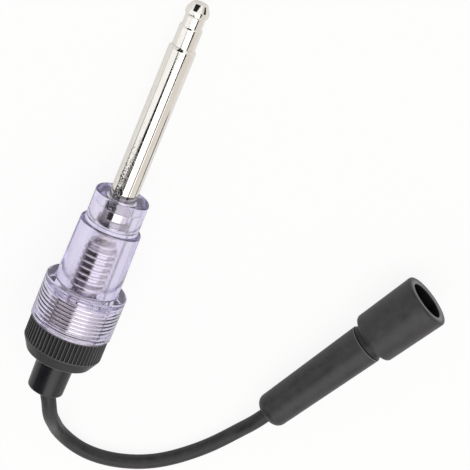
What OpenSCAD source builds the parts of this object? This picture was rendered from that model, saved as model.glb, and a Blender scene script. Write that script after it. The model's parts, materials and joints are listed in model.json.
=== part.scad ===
// Ignition coil tester: an in-line spark tester with an adjustable gap, lying on its side.
// The tool's own axis runs from the cable sleeve to the probe terminal. Stations along it are
// measured from the housing's shoulder, the step between barrel and skirt, towards the terminal.

/* [Probe] */
// Diameter of the probe rod
rod_d = 7.64; // [7.4:0.02:7.8]
// Length of rod that stands out of the collar
rod_free = 45.1; // [30:0.1:60]
// Length of the terminal nut, head included
terminal_len = 12.8; // [12:0.1:15]
// Widest diameter of the terminal's head
head_d = 6.45; // [6.2:0.05:6.5]
// Rounding of the head's widest ring
head_round = 0.6; // [0.3:0.05:0.8]
// Diameter of the neck behind the head
neck_d = 5.6; // [5:0.02:5.6]
// Diameter of the terminal's base
base_d = 6.42; // [6.36:0.01:6.6]

/* [Housing] */
// Diameter of the collar that holds the rod
collar_d = 15.4; // [14:0.1:16]
// Length of the collar
collar_len = 9.2; // [8:0.1:12]
// Diameter of the barrel beside the collar
barrel_d = 17.5; // [17:0.1:18]
// Diameter of the barrel at the shoulder, a little more for the mould's draft
barrel_base_d = 18.3; // [18:0.1:19]
// Length of the barrel
barrel_len = 18.9; // [16:0.1:24]
// Diameter of the skirt
skirt_d = 23.5; // [22:0.1:25]
// Length of the skirt
skirt_len = 12.9; // [12.2:0.1:14.5]
// Rounding of the skirt's upper edge
skirt_round = 0.6; // [0.3:0.1:1.2]
// Bore of the spark chamber
chamber_d = 10.1; // [10:0.1:11]
// Inner diameter of the skirt's thread
skirt_bore_d = 16; // [15.6:0.1:16.4]
// Pitch of the adjusting thread
thread_pitch = 1.155; // [1:0.005:1.25]

/* [Electrode] */
// Diameter over the moving electrode's ridges
electrode_d = 9.5; // [9:0.1:9.6]
// Spacing of the ridges
ridge_pitch = 1.87; // [1.5:0.01:2.2]
// Spark gap with the cap screwed home
closed_gap = 3.7; // [2:0.1:6]

/* [Adjuster] */
// Diameter of the fluted cap
cap_d = 22.7; // [22:0.1:24.5]
// Length of the cap's fluted band
flute_len = 6.7; // [6:0.1:9]
// Length of the cap's bevel
bevel_len = 3.5; // [2.5:0.1:4.5]
// Diameter at the foot of the bevel
bevel_d = 18.9; // [18.2:0.1:20.5]
// Number of flutes round the cap
flutes = 60; // [40:1:72]

/* [Sleeve and lead] */
// Diameter of the cable sleeve at the cap
sleeve_d = 10.9; // [10:0.1:11.4]
// Diameter of the cable sleeve at its end
sleeve_end_d = 10.4; // [9.6:0.1:10.8]
// Length of sleeve that shows
sleeve_free = 11.3; // [9:0.1:16]
// Diameter of the lead
lead_d = 4.3; // [3.6:0.1:4.4]

/* [Boot] */
// Diameter of the cup at its mouth
mouth_d = 16.4; // [15.6:0.1:17.5]
// Diameter of the cup at its root
cup_d = 15.5; // [14.6:0.1:16]
// Length of the cup
cup_len = 20.1; // [19.2:0.1:24]
// Bore of the cup
cup_bore_d = 11.5; // [10.5:0.1:12]
// Depth of the cup's bore
cup_bore_len = 18; // [15:0.1:18.5]
// Whole length of the boot
boot_len = 59.6; // [55:0.1:66]
// Diameter of the boot's body beside the cup
body_d = 12; // [11.4:0.1:13]
// Diameter of the boot's body at its small end
body_end_d = 10.4; // [9.6:0.1:11]
// Plan position of the mouth's centre, along the tool
boot_x = -0.2; // [-1.2:0.1:0.8]
// Plan position of the mouth's centre, beside the tool
boot_y = -93.6; // [-94.6:0.1:-92.6]
// Direction in plan that the boot's mouth faces
boot_turn = -26.8; // [-28:0.1:-26]

/* [Hidden] */
$fn = 64;

// Stations along the tool's axis
collar_w = barrel_len + collar_len;
rod_top_w = collar_w + rod_free;
tip_w = rod_top_w + terminal_len;
neck_w = tip_w - 6.8;
head_w = tip_w - 2.6;
tip_flat_r = 2.1;
base_chamfer = 0.35;
rod_top_chamfer = 0.65;
ceiling_w = barrel_len + 0.4;
skirt_end_w = -skirt_len;
cap_top_w = skirt_end_w - 0.05;
flute_end_w = cap_top_w - flute_len;
cap_end_w = flute_end_w - bevel_len;
sleeve_end_w = cap_end_w - sleeve_free;

// Fits
press_gap = 0.02;
turn_gap = 0.3;
thread_gap = 0.05;

// Housing, inside
rod_bore_r = rod_d / 2 + press_gap;
retainer_r = rod_bore_r + 0.56;
retainer_w = ceiling_w + 2.5;
skirt_ceiling_w = -2.6;
skirt_bore_r = skirt_bore_d / 2;
thread_depth = 0.55;
thread_crest = 0.2;
thread_turns = floor((skirt_len + skirt_ceiling_w - 0.6) / thread_pitch);
edge_round = 0.5;

// Plug, electrode and what they hold
plug_r = skirt_bore_r - thread_gap;
plug_top_w = -3.7;
plug_turns = floor((plug_top_w - 0.3 - cap_top_w) / thread_pitch);
plug_flange_r = plug_r + 0.43;
plug_flange_w = cap_top_w - 0.35;
plug_end_w = cap_top_w - 4.15;
stud_r = 2.5;
stud_end_w = cap_top_w - 1.55;
nut_w = plug_top_w - 6;
nut_len = 4;
nut_flats = 8;
plug_recess_r = 5.2;
shank_r = rod_d / 2;
electrode_r = electrode_d / 2;
dome_top_w = ceiling_w - closed_gap;
dome_len = 3.6;
ridge_depth = 0.45;
ridge_foot_w = 0.9;
ridge_count = floor((dome_top_w - 0.9 - ridge_foot_w) / ridge_pitch) + 1;

// Cap, washer and the sleeve's flange, which turns between them
cap_floor_w = flute_end_w - 0.35;
washer_len = 0.55;
flange_r = plug_flange_r - 0.4;
flange_w = plug_end_w - 0.4;
flange_end_w = cap_floor_w + washer_len + 0.1;
sleeve_hole_r = sleeve_d / 2 + turn_gap;
flute_r = 0.42;
flute_offset = 0.12;

// Lead's end in the sleeve
lead_r = lead_d / 2;
lead_bore_r = lead_r + 0.15;
seat_w = flange_end_w - 1.1;
terminal_head_r = 3.2;
crimp_r = 1.8;
core_r = 0.95;
crimp_end_w = seat_w - 4.5;
lead_start_w = crimp_end_w - 0.1;
bell_w = sleeve_end_w + 4.8;
bell_r = lead_r + 1.3;
button_w = stud_end_w - 0.5;
wire_r = 0.3;
spring_r = 1.85;

// Boot, measured from the mouth's plane, inwards is negative
mouth_r = mouth_d / 2;
root_r = cup_d / 2;
end_r = body_end_d / 2;
mouth_round = 1;
root_round = 1.2;
end_round = 2.6;
end_lip = 0.3;
clip_hole_r = 3.2;
clip_r = 3.8;
clip_w = -(cup_len + 2.9);
clip_len = 10;
cavity_r = 4.6;
cavity_end_w = clip_w - clip_len - 1.2;
boot_crimp_end_w = cavity_end_w - 4.8;
ring_r = clip_r + 0.35;

// How the tool lies: its skirt's rounded edge and the head's widest ring both touch the floor.
rim_r = skirt_d / 2 - skirt_round;
ring_down = rim_r - (head_d / 2 - head_round);
ring_apart = head_w + skirt_round;
tilt = atan2(ring_down, ring_apart)
    - asin((head_round - skirt_round) / norm([ring_down, ring_apart]));
axis_h = rim_r * cos(tilt) - skirt_round * sin(tilt) + skirt_round;
sleeve_chamfer = 0.8;
reach_tip = tip_w * cos(tilt) + tip_flat_r * sin(tilt);
reach_sleeve = sleeve_end_w * cos(tilt) - (sleeve_end_d / 2 - sleeve_chamfer) * sin(tilt);
middle_x = (reach_tip + reach_sleeve) / 2;

// How the boot lies: the rounded root of its cup and its small end both touch the floor.
boot_down = root_r - root_round - end_r + end_round;
boot_apart = boot_len - end_round - end_lip - cup_len + root_round;
boot_tilt = atan2(boot_down, boot_apart)
    - asin((end_round - root_round) / norm([boot_down, boot_apart]));
boot_z = root_round + (root_r - root_round) * cos(boot_tilt) + (cup_len - root_round) * sin(boot_tilt);

// Points of the lead between sleeve and boot, in the part's frame
lead_route = [[-62, -1.9, 15.2], [-66.6, -4, 14.3], [-73.6, -8, 8.7], [-79.8, -12.6, 3.3],
    [-83.6, -19.4, 2.2], [-84.8, -27, 2.2], [-83.9, -35, 2.2], [-80.8, -43.3, 2.2],
    [-75.8, -50.5, 2.2], [-69.3, -57.2, 2.2], [-61.8, -62.6, 2.9], [-56.9, -64.9, 4.6]];

// A point of the tool's axis at a station, and of the boot's axis
function tool_point(w) = [w * cos(tilt) - middle_x, 0, axis_h - w * sin(tilt)];
function boot_point(w) = [boot_x, boot_y, boot_z] + w * [cos(boot_tilt) * cos(boot_turn),
    cos(boot_tilt) * sin(boot_turn), sin(boot_tilt)];

// Points of an arc about a centre, from one angle to another
function arc(centre, r, from, to, steps = 6) =
    [for (i = [0:steps]) let (a = from + (to - from) * i / steps)
        centre + r * [cos(a), sin(a)]];
function unit(v) = v / norm(v);

// Radius of the electrode at a station: straight, then an elliptical dome
function electrode_r_at(w) = let (up = max(0, w - dome_top_w + dome_len) / (dome_len + 0.3))
    electrode_r * sqrt(1 - up * up);

module on_tool() {
    translate([-middle_x, 0, axis_h]) rotate([0, 90 + tilt, 0]) children();
}

module on_boot() {
    translate([boot_x, boot_y, boot_z]) rotate([0, 90 - boot_tilt, boot_turn]) children();
}

module turned(profile) {
    rotate_extrude() polygon(profile);
}

// A round tube of straight runs swept along a path, with both ends closed
module swept(path, r, sides, up = [0, 0, 1]) {
    last = len(path) - 1;
    heading = [for (i = [0:last]) unit(path[min(i + 1, last)] - path[max(i - 1, 0)])];
    points = [for (i = [0:last])
        let (side = unit(cross(heading[i], up)), top = cross(side, heading[i]))
            for (k = [0:sides - 1]) let (a = 360 * (k + 0.5) / sides)
                path[i] + r * (cos(a) * side + sin(a) * top)];
    walls = [for (i = [0:last - 1]) for (k = [0:sides - 1])
        let (a = i * sides + k, b = i * sides + (k + 1) % sides)
            each [[a, a + sides, b], [b, a + sides, b + sides]]];
    start = [for (k = [1:sides - 2]) [0, k, k + 1]];
    end = [for (k = [1:sides - 2]) [last * sides, last * sides + k + 1, last * sides + k]];
    polyhedron(points, concat(walls, start, end));
}

// Clear moulding: collar round the rod, barrel round the spark chamber, threaded skirt
module clear_housing() {
    collar_r = collar_d / 2;
    barrel_r = barrel_d / 2;
    skirt_r = skirt_d / 2;
    thread = [for (i = [0:thread_turns - 1])
        let (w = skirt_ceiling_w - 0.3 - i * thread_pitch)
            each [[skirt_bore_r, w], [skirt_bore_r + thread_depth, w - (thread_pitch - thread_crest) / 2],
                [skirt_bore_r, w - thread_pitch + thread_crest]]];
    inside = concat([[rod_bore_r, collar_w], [rod_bore_r, retainer_w], [retainer_r, retainer_w],
        [retainer_r, ceiling_w], [chamber_d / 2, ceiling_w], [chamber_d / 2, skirt_ceiling_w],
        [skirt_bore_r, skirt_ceiling_w]], thread,
        [[skirt_bore_r, skirt_end_w + 0.4], [skirt_bore_r + 0.4, skirt_end_w]]);
    outside = concat([[skirt_r - 0.15, skirt_end_w], [skirt_r, skirt_end_w + 0.15]],
        arc([rim_r, -skirt_round], skirt_round, 0, 90),
        [[barrel_base_d / 2, 0]],
        arc([barrel_r - edge_round, barrel_len - edge_round], edge_round, 0, 90, 4),
        [[collar_r, barrel_len]],
        arc([collar_r - edge_round, collar_w - edge_round], edge_round, 0, 90, 4));
    color([0.79, 0.77, 0.91, 0.5]) on_tool() turned(concat(inside, outside));
}

// Plated rod, its inner end the fixed electrode, with a stud for the terminal
module probe_rod() {
    r = rod_d / 2;
    chamfer = 0.35;
    terminal_stud_r = 2;
    color([0.86, 0.84, 0.8]) on_tool()
        turned([[0, ceiling_w], [r - chamfer, ceiling_w], [r, ceiling_w + chamfer],
            [r, rod_top_w - rod_top_chamfer], [r - rod_top_chamfer, rod_top_w], [terminal_stud_r, rod_top_w],
            [terminal_stud_r, neck_w - 0.1], [0, neck_w - 0.1]]);
}

// Terminal nut: base, neck and rounded head, screwed on the rod's stud
module probe_terminal() {
    bore_r = 2 + press_gap;
    head_r = head_d / 2;
    base_r = base_d / 2;
    start_w = rod_top_w + press_gap;
    color([0.88, 0.86, 0.8]) on_tool()
        turned(concat([[bore_r, start_w], [base_r, start_w], [base_r, neck_w - base_chamfer],
            [base_r - base_chamfer, neck_w], [neck_d / 2, neck_w], [neck_d / 2, head_w - 1.3]],
            arc([head_r - head_round, head_w], head_round, -50, 35, 5),
            [[tip_flat_r + 0.2, tip_w - 0.2], [tip_flat_r, tip_w], [0, tip_w],
            [0, neck_w], [bore_r, neck_w]]));
}

// Plated ring that holds the rod in the collar, seated in the chamber's ceiling
module rod_retainer() {
    color([0.6, 0.6, 0.62]) on_tool()
        turned([[rod_bore_r, ceiling_w + 0.7], [retainer_r - press_gap, ceiling_w + 0.7],
            [retainer_r - press_gap, retainer_w - 0.1], [rod_bore_r, retainer_w - 0.1]]);
}

// Black cap with flutes, a bevel and a floor that holds the swivel
module adjuster_cap() {
    r = cap_d / 2;
    color([0.16, 0.16, 0.17]) on_tool() difference() {
        union() {
            translate([0, 0, flute_end_w + 0.3]) linear_extrude(height = flute_len - 0.7)
                difference() {
                    circle(r);
                    for (i = [0:flutes - 1])
                        rotate(i * 360 / flutes) translate([r + flute_offset, 0])
                            circle(flute_r, $fn = 16);
                }
            turned([[0, cap_end_w], [bevel_d / 2 - 0.3, cap_end_w], [bevel_d / 2, cap_end_w + 0.3],
                [r, flute_end_w], [r, flute_end_w + 0.3], [r - 0.4, flute_end_w + 0.3],
                [r - 0.4, cap_top_w - 0.4], [r, cap_top_w - 0.4], [r, cap_top_w - 0.1],
                [r - 0.1, cap_top_w], [0, cap_top_w]]);
        }
        turned([[0, cap_floor_w], [plug_flange_r, cap_floor_w], [plug_flange_r, cap_top_w + 1],
            [0, cap_top_w + 1]]);
        translate([0, 0, cap_end_w - 1]) cylinder(h = bevel_len + 3, r = sleeve_hole_r);
    }
}

// Plated plug with the adjusting thread, pressed in the cap
module threaded_plug() {
    thread = [for (i = [0:plug_turns - 1])
        let (w = plug_top_w - 0.3 - i * thread_pitch)
            each [[plug_r, w], [plug_r - thread_depth, w - (thread_pitch - thread_crest) / 2],
                [plug_r, w - thread_pitch + thread_crest]]];
    color([0.78, 0.78, 0.8]) on_tool()
        turned(concat([[stud_r + press_gap, plug_top_w], [plug_r - 0.3, plug_top_w]], thread,
            [[plug_r - 0.4, cap_top_w + 0.6], [plug_r - 0.4, plug_flange_w],
            [plug_flange_r - press_gap, plug_flange_w], [plug_flange_r - press_gap, plug_end_w],
            [plug_recess_r, plug_end_w], [plug_recess_r, nut_w], [stud_r + press_gap, nut_w]]));
}

// Ridged electrode with a domed end, a plain shank and a tail through the plug
module electrode() {
    half = 0.2;
    slope = 0.35;
    ridges = [for (i = [ridge_count - 1:-1:0])
        let (w = ridge_foot_w + i * ridge_pitch, valley = w - half - slope,
            valley_end = w - ridge_pitch + half + slope)
            each [[electrode_r_at(w + half), w + half], [electrode_r_at(w - half), w - half],
                [electrode_r_at(valley) - ridge_depth, valley],
                [electrode_r_at(valley_end) - ridge_depth, valley_end]]];
    lowest_w = ridge_foot_w - ridge_pitch + half + slope;
    color([0.75, 0.75, 0.78]) on_tool()
        turned(concat([[0, dome_top_w], [electrode_r_at(dome_top_w), dome_top_w]], ridges,
            [[shank_r, lowest_w - 0.3], [shank_r, plug_top_w + press_gap],
            [stud_r, plug_top_w + press_gap], [stud_r, stud_end_w], [0, stud_end_w]]));
}

// Hexagon nut that locks the electrode's tail under the plug
module electrode_nut() {
    color([0.7, 0.7, 0.72]) on_tool() translate([0, 0, nut_w - press_gap - nut_len]) difference() {
        cylinder(h = nut_len, r = nut_flats / sqrt(3), $fn = 6);
        translate([0, 0, -1]) cylinder(h = nut_len + 2, r = stud_r + press_gap);
    }
}

// Washer on the cap's floor, on which the sleeve's flange bears
module thrust_washer() {
    color([0.9, 0.9, 0.88]) on_tool()
        turned([[sleeve_hole_r, cap_floor_w], [flange_r, cap_floor_w],
            [flange_r, cap_floor_w + washer_len], [sleeve_hole_r, cap_floor_w + washer_len]]);
}

// Black sleeve with a flange held in the cap and a bell mouth for the lead
module cable_sleeve() {
    end_r = sleeve_end_d / 2;
    color([0.14, 0.14, 0.15]) on_tool()
        turned([[terminal_head_r + 0.1, flange_w], [flange_r, flange_w], [flange_r, flange_end_w],
            [sleeve_d / 2, flange_end_w], [sleeve_d / 2, cap_end_w],
            [end_r, sleeve_end_w + sleeve_chamfer], [end_r - sleeve_chamfer, sleeve_end_w],
            [bell_r, sleeve_end_w], [lead_bore_r, bell_w], [lead_bore_r, seat_w],
            [terminal_head_r + 0.1, seat_w]]);
}

// Brass terminal crimped on the lead, with a pin that centres the spring
module lead_terminal() {
    head_top_w = seat_w + 1;
    pin_r = 1.2;
    color([0.8, 0.66, 0.36]) on_tool()
        turned([[0, head_top_w + 1.3], [pin_r, head_top_w + 1.3], [pin_r, head_top_w],
            [terminal_head_r, head_top_w], [terminal_head_r, seat_w], [crimp_r, seat_w],
            [crimp_r, crimp_end_w], [core_r + press_gap, crimp_end_w],
            [core_r + press_gap, seat_w - 1], [0, seat_w - 1]]);
}

// Spring between the terminal's head and the contact button, an open helix
module contact_spring() {
    low_w = seat_w + 1 + wire_r;
    high_w = button_w - 0.9 - wire_r;
    turns = 4;
    steps = 12;
    coil = [for (i = [0:turns * steps]) let (a = 360 * i / steps)
        [spring_r * cos(a), spring_r * sin(a), low_w + (high_w - low_w) * i / (turns * steps)]];
    color([0.72, 0.72, 0.74]) on_tool() swept(coil, wire_r, 6);
}

// Brass button that the spring holds against the electrode's tail
module contact_button() {
    color([0.8, 0.66, 0.36]) on_tool()
        turned([[0, stud_end_w - press_gap], [1, stud_end_w - press_gap], [1.4, button_w],
            [2.3, button_w], [2.3, button_w - 0.9], [1.2, button_w - 0.9],
            [1.2, button_w - 1.9], [0, button_w - 1.9]]);
}

// Bared ends of the lead's conductor, in the two crimps
module lead_core() {
    color([0.78, 0.46, 0.3]) {
        on_tool() translate([0, 0, lead_start_w]) cylinder(h = seat_w - 1.1 - lead_start_w, r = core_r);
        on_boot() translate([0, 0, boot_crimp_end_w - 0.1]) cylinder(h = 3.7, r = core_r);
    }
}

// Rubber-covered lead, from the sleeve's crimp, over the floor, to the boot's crimp
module lead() {
    in_sleeve = [tool_point(lead_start_w), tool_point(bell_w),
        tool_point(sleeve_end_w) + [0, -0.8, 0]];
    in_boot = [boot_point(-boot_len), boot_point(-boot_len + 8), boot_point(boot_crimp_end_w - 0.1)];
    color([0.13, 0.13, 0.14]) swept(concat(in_sleeve, lead_route, in_boot), lead_r, 10);
}

// Rubber boot: flared cup, a narrow neck behind it, tapered body with a rounded small end
module boot() {
    neck_r = body_d / 2 - 0.45;
    neck_end_w = -cup_len - 2.1;
    outside = concat(arc([mouth_r - mouth_round, -mouth_round], mouth_round, 90, 0, 4),
        arc([root_r - root_round, -cup_len + root_round], root_round, 0, -90, 4),
        [[neck_r, -cup_len], [neck_r, neck_end_w], [body_d / 2 - 0.2, neck_end_w],
        [body_d / 2, neck_end_w - 0.3]],
        arc([end_r - end_round, -boot_len + end_round + end_lip], end_round, 0, -75, 6),
        [[end_r - end_round + 0.4, -boot_len]]);
    inside = [[lead_bore_r, -boot_len], [lead_bore_r, cavity_end_w], [cavity_r, cavity_end_w],
        [cavity_r, -cup_bore_len], [cup_bore_d / 2, -cup_bore_len], [cup_bore_d / 2, -0.5],
        [cup_bore_d / 2 + 0.4, 0]];
    color([0.24, 0.24, 0.25]) on_boot() turned(concat(outside, inside));
}

// Spring-brass snap terminal with four slots and a crimp tail
module plug_clip() {
    floor_w = clip_w - clip_len;
    color([0.8, 0.66, 0.36]) on_boot() difference() {
        turned([[clip_hole_r, clip_w], [clip_r, clip_w], [clip_r, floor_w - 1], [crimp_r, floor_w - 1],
            [crimp_r, boot_crimp_end_w], [core_r + press_gap, boot_crimp_end_w],
            [core_r + press_gap, floor_w - 1.2], [0, floor_w - 1.2], [0, floor_w], [clip_hole_r, floor_w]]);
        for (i = [0:1])
            rotate(90 * i) translate([-5, -0.4, floor_w + 2.5]) cube([10, 0.8, clip_len]);
    }
}

// Wire ring that closes the clip on a plug's terminal
module clip_ring() {
    color([0.72, 0.72, 0.74]) on_boot() translate([0, 0, clip_w - 3]) rotate_extrude()
        translate([ring_r, 0]) circle(0.33, $fn = 24);
}

clear_housing();
probe_rod();
probe_terminal();
rod_retainer();
adjuster_cap();
threaded_plug();
electrode();
electrode_nut();
thrust_washer();
cable_sleeve();
lead_terminal();
contact_spring();
contact_button();
lead_core();
lead();
boot();
plug_clip();
clip_ring();
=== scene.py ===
"""Ignition coil tester: probe rod, clear housing, ridged electrode, fluted cap, lead and boot.

The tool lies on its side with its own axis tilted a little. Lengths along that axis are stations in
millimetres, measured from the housing's shoulder towards the probe's tip, as in the CAD model.
"""
import json
import math

import bpy
import numpy as np
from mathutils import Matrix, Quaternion, Vector


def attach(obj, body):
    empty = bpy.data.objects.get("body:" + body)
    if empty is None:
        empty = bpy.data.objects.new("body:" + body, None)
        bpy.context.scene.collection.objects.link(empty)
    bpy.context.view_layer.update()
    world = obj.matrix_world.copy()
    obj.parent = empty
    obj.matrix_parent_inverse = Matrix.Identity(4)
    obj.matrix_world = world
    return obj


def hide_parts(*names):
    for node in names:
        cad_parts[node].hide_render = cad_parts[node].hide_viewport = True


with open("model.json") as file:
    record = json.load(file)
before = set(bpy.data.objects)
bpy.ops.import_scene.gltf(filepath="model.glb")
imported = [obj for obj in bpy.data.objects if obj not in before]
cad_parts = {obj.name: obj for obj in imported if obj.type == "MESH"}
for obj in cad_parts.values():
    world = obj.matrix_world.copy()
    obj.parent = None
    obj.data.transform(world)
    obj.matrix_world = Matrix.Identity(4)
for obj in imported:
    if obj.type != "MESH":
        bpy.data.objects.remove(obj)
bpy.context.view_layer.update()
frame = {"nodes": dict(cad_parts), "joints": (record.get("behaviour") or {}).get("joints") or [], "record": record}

# Camera
# It looks down at about 60 degrees from beyond the probe's tip, through a long lens, and is rolled
# so that the tool stands upright in the picture, with its tip leaning to the right.
camera_place = Vector((0.2545, 0.1273, 0.5210))
camera_aim = Vector((0.0017, -0.0332, 0.0099))
camera_roll = 168.685
camera_lens = 164.89
camera_data = bpy.data.cameras.new("camera")
camera_data.lens = camera_lens
camera = bpy.data.objects.new("camera", camera_data)
camera.location = camera_place
camera.rotation_mode = "QUATERNION"
camera.rotation_quaternion = (camera_aim - camera_place).to_track_quat("-Z", "Y") @ Quaternion(
    (0, 0, 1), math.radians(camera_roll))
bpy.context.collection.objects.link(camera)
bpy.context.scene.camera = camera

# Probe rod
# A turned brass rod, bright nickel plated, that carries the high tension from the terminal to the
# spark gap. Its inner end is the fixed electrode, and a knurled part is pressed in the collar.
mm = 0.001
cap_hinge = next(j for j in frame["joints"] if j["name"] == "cap_turn")
hinge_station = -17  # where the CAD model puts the cap's hinge
along = -np.array(cap_hinge["axis"], float)
along /= np.linalg.norm(along)
across = np.array([0.0, 1.0, 0.0])
tool_zero = np.array(cap_hinge["pos_m"], float) - hinge_station * mm * along
tool_axes = (tool_zero, along, across, -np.cross(along, across))
clearance = 0.02
rod_r = 3.82
ceiling = 19.3  # the spark chamber's, level with the rod's inner end
collar_top = 28.1
knurl_end = collar_top - 3.6
knurl_grooves = 22
knurl_pitch = 0.62
knurl_depth = 0.07
rod_top = 73.2
rod_chamfer = 0.65
rod_stud_r = 2.0
neck_foot = 79.2
rod_stud_end = neck_foot - 0.1
pits_low = 28.0  # the stations between which the pits fade out, and those for the painted dark line
pits_high = 54.0
line_low = 34.0
line_high = 72.0
worn_shaded_inner = 0.9  # how far to the side the pitted band's edges, its middle and its painted dark line lie
worn_shaded_middle = 2.35
dark_line_aside = 3.08
worn_shaded_outer = 3.35


def linear(colour):
    """An sRGB hex colour as linear red, green, blue and alpha, by the curve that sRGB defines."""
    channels = [int(colour[i:i + 2], 16) / 255 for i in (1, 3, 5)]
    return [c / 12.92 if c <= 0.04045 else ((c + 0.055) / 1.055) ** 2.4 for c in channels] + [1.0]


def rounded(corners, steps=6, closed=True):
    """A profile through (station, radius, fillet) corners as an array of (station, radius).

    A corner with a fillet becomes an arc that is tangent to both sides: it starts and ends at
    fillet * tan(half the turn) from the corner, and its points are spaced by equal angles. A
    straight over 2 mm gets a point 0.06 mm from either end, so that the shading stays true on it.
    """
    points = []
    for i, (w, r, fillet) in enumerate(corners):
        here = np.array([w, r], float)
        if fillet == 0 or (not closed and i in (0, len(corners) - 1)):
            points.append(here)
            continue
        back = np.array(corners[i - 1][:2], float) - here
        ahead = np.array(corners[(i + 1) % len(corners)][:2], float) - here
        back /= np.linalg.norm(back)
        ahead /= np.linalg.norm(ahead)
        opening = math.acos(np.clip(back @ ahead, -1, 1))
        bisector = (back + ahead) / np.linalg.norm(back + ahead)
        centre = here + bisector * fillet / math.sin(opening / 2)
        start = here + back * fillet / math.tan(opening / 2) - centre
        way = ahead - back
        turn = np.sign(start[0] * way[1] - start[1] * way[0]) * (math.pi - opening)
        a = turn * np.arange(steps + 1) / steps
        points.extend(centre + np.outer(np.cos(a), start)
                      + np.outer(np.sin(a), [-start[1], start[0]]))
    points = np.array(points)
    step = np.roll(points, -1, axis=0) - points
    length = np.linalg.norm(step, axis=1)
    straight = np.flatnonzero((length > 2) & (closed | (np.arange(len(points)) < len(points) - 1)))
    near = 0.06 * step[straight] / length[straight, None]
    ends = np.stack([points[straight] + near, points[straight] + step[straight] - near], 1)
    return np.insert(points, np.repeat(straight + 1, 2), ends.reshape(-1, 2), axis=0)


def ring_faces(rows, sides, closed):
    """Quads between the rows of a grid of points, each row of which is a ring.

    A closed grid joins its last row to its first. An open one is shut by a fan at each end, to the
    points that follow the grid's own. A fan's triangle is a quad with its last corner twice.
    """
    i = np.arange(rows if closed else rows - 1)[:, None] * sides
    j = np.arange(sides)
    k = (j + 1) % sides
    n = (i + sides) % (rows * sides)
    faces = np.stack(np.broadcast_arrays(i + j, i + k, n + k, n + j), -1).reshape(-1, 4)
    if closed:
        return faces
    top = (rows - 1) * sides
    foot, tip = (np.full(sides, rows * sides + end) for end in (0, 1))
    return np.vstack([faces, np.stack([k, j, foot, foot], -1),
                      np.stack([top + j, top + k, tip, tip], -1)])


def put_mesh(name, points, quads, body, smooth=35):
    """A mesh object of points and quads that rides on a body.

    The faces are turned round if the volume they enclose, a sixth of the sum of the corners' triple
    products, is negative. Edges that bend more than the smooth angle stay sharp.
    """
    a, b, c, d = (points[quads[:, k]] for k in range(4))
    volume = np.einsum("ij,ij->", a, np.cross(b, c)) + np.einsum("ij,ij->", a, np.cross(c, d))
    if volume < 0:
        quads = quads[:, ::-1]
    mesh = bpy.data.meshes.new(name)
    mesh.from_pydata(points, [], [list(dict.fromkeys(quad)) for quad in quads.tolist()])
    mesh.update()
    mesh.shade_smooth()
    mesh.set_sharp_from_angle(angle=math.radians(smooth))
    piece = bpy.data.objects.new(name, mesh)
    bpy.context.collection.objects.link(piece)
    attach(piece, body)
    return piece


def turned(name, profile, body, sides=160, axes=tool_axes, caps=None, relief=None, smooth=35):
    """A turned piece: a profile point (w, r) goes to zero + w * along + r * (cos, sin) of an angle.

    relief(w, angle) is added to the radius and may wind round the axis. The profile is closed,
    unless caps gives two stations on the axis, from which fans shut its ends.
    """
    zero, forward, right, down = axes
    w, angle = np.meshgrid(profile[:, 0], np.arange(sides) * 2 * np.pi / sides, indexing="ij")
    r = np.broadcast_to(profile[:, 1:], w.shape)
    if relief is not None:
        r = r + relief(w, angle)
    ring = np.cos(angle)[..., None] * down + np.sin(angle)[..., None] * right
    points = (zero + mm * (w[..., None] * forward + r[..., None] * ring)).reshape(-1, 3)
    if caps is not None:
        points = np.vstack([points, [zero + mm * cap * forward for cap in caps]])
    return put_mesh(name, points, ring_faces(len(profile), sides, caps is None), body, smooth)


def feed(material, node, **inputs):
    """Sets a node's inputs, or links them to a socket or to another node's first output.

    An input goes by its name, with _ for each space, or by _ and its number.
    """
    for key, value in inputs.items():
        socket = node.inputs[int(key[1:]) if key[0] == "_" else key.replace("_", " ")]
        if isinstance(value, bpy.types.Node):
            value = value.outputs[0]
        if isinstance(value, bpy.types.NodeSocket):
            material.node_tree.links.new(value, socket)
        else:
            socket.default_value = value


def add(material, kind, settings=None, **inputs):
    """Adds a node of that kind, with its settings and inputs, to a material or to the world."""
    node = material.node_tree.nodes.new("ShaderNode" + kind)
    for key, value in (settings or {}).items():
        setattr(node, key, value)
    feed(material, node, **inputs)
    return node


def new_material(name):
    """A node material and its Principled shader, which is linked to the output."""
    material = bpy.data.materials.new(name)
    material.use_nodes = True
    return material, material.node_tree.nodes["Principled BSDF"]


def tool_coordinates(material, *size):
    """Object coordinates turned so that X runs along the tool, in units of size in millimetres."""
    turn = add(material, "Mapping", {"vector_type": "TEXTURE"}, Location=tuple(tool_zero),
               Rotation=(0, math.asin(-along[2]), 0),
               Vector=add(material, "TexCoord").outputs["Object"])
    return add(material, "Mapping", Vector=turn, Scale=tuple(1000 / s for s in size))


def nickel_plate(name="bright_nickel_plate", colour="#faf8f4", rough=0.09):
    """Bright nickel over turned brass: warm white, with faint turning lines and a few dull spots.

    The lines run round the axis about 0.25 mm apart, and the spots are some 4 mm long.
    """
    material, shader = new_material(name)
    rings = add(material, "TexNoise", Vector=tool_coordinates(material, 0.25, 30, 30), Scale=1.0,
                Detail=2.0)
    spots = add(material, "TexNoise", Vector=tool_coordinates(material, 4.0, 1.2, 1.2), Scale=1.0,
                Detail=5.0, Roughness=0.6)
    gloss = add(material, "MapRange", Value=spots, From_Min=0.35, From_Max=0.75,
                To_Min=rough * 0.7, To_Max=rough * 2.0)
    tint = add(material, "ValToRGB", Fac=spots)
    tint.color_ramp.elements[0].position = 0.3
    tint.color_ramp.elements[0].color = linear(colour)
    tint.color_ramp.elements[1].position = 0.85
    tint.color_ramp.elements[1].color = linear("#efe9e0")
    bump = add(material, "Bump", Strength=0.06, Distance=0.0001, Height=rings)
    feed(material, shader, Base_Color=tint, Metallic=1.0, Roughness=gloss, Normal=bump)
    return material


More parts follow.
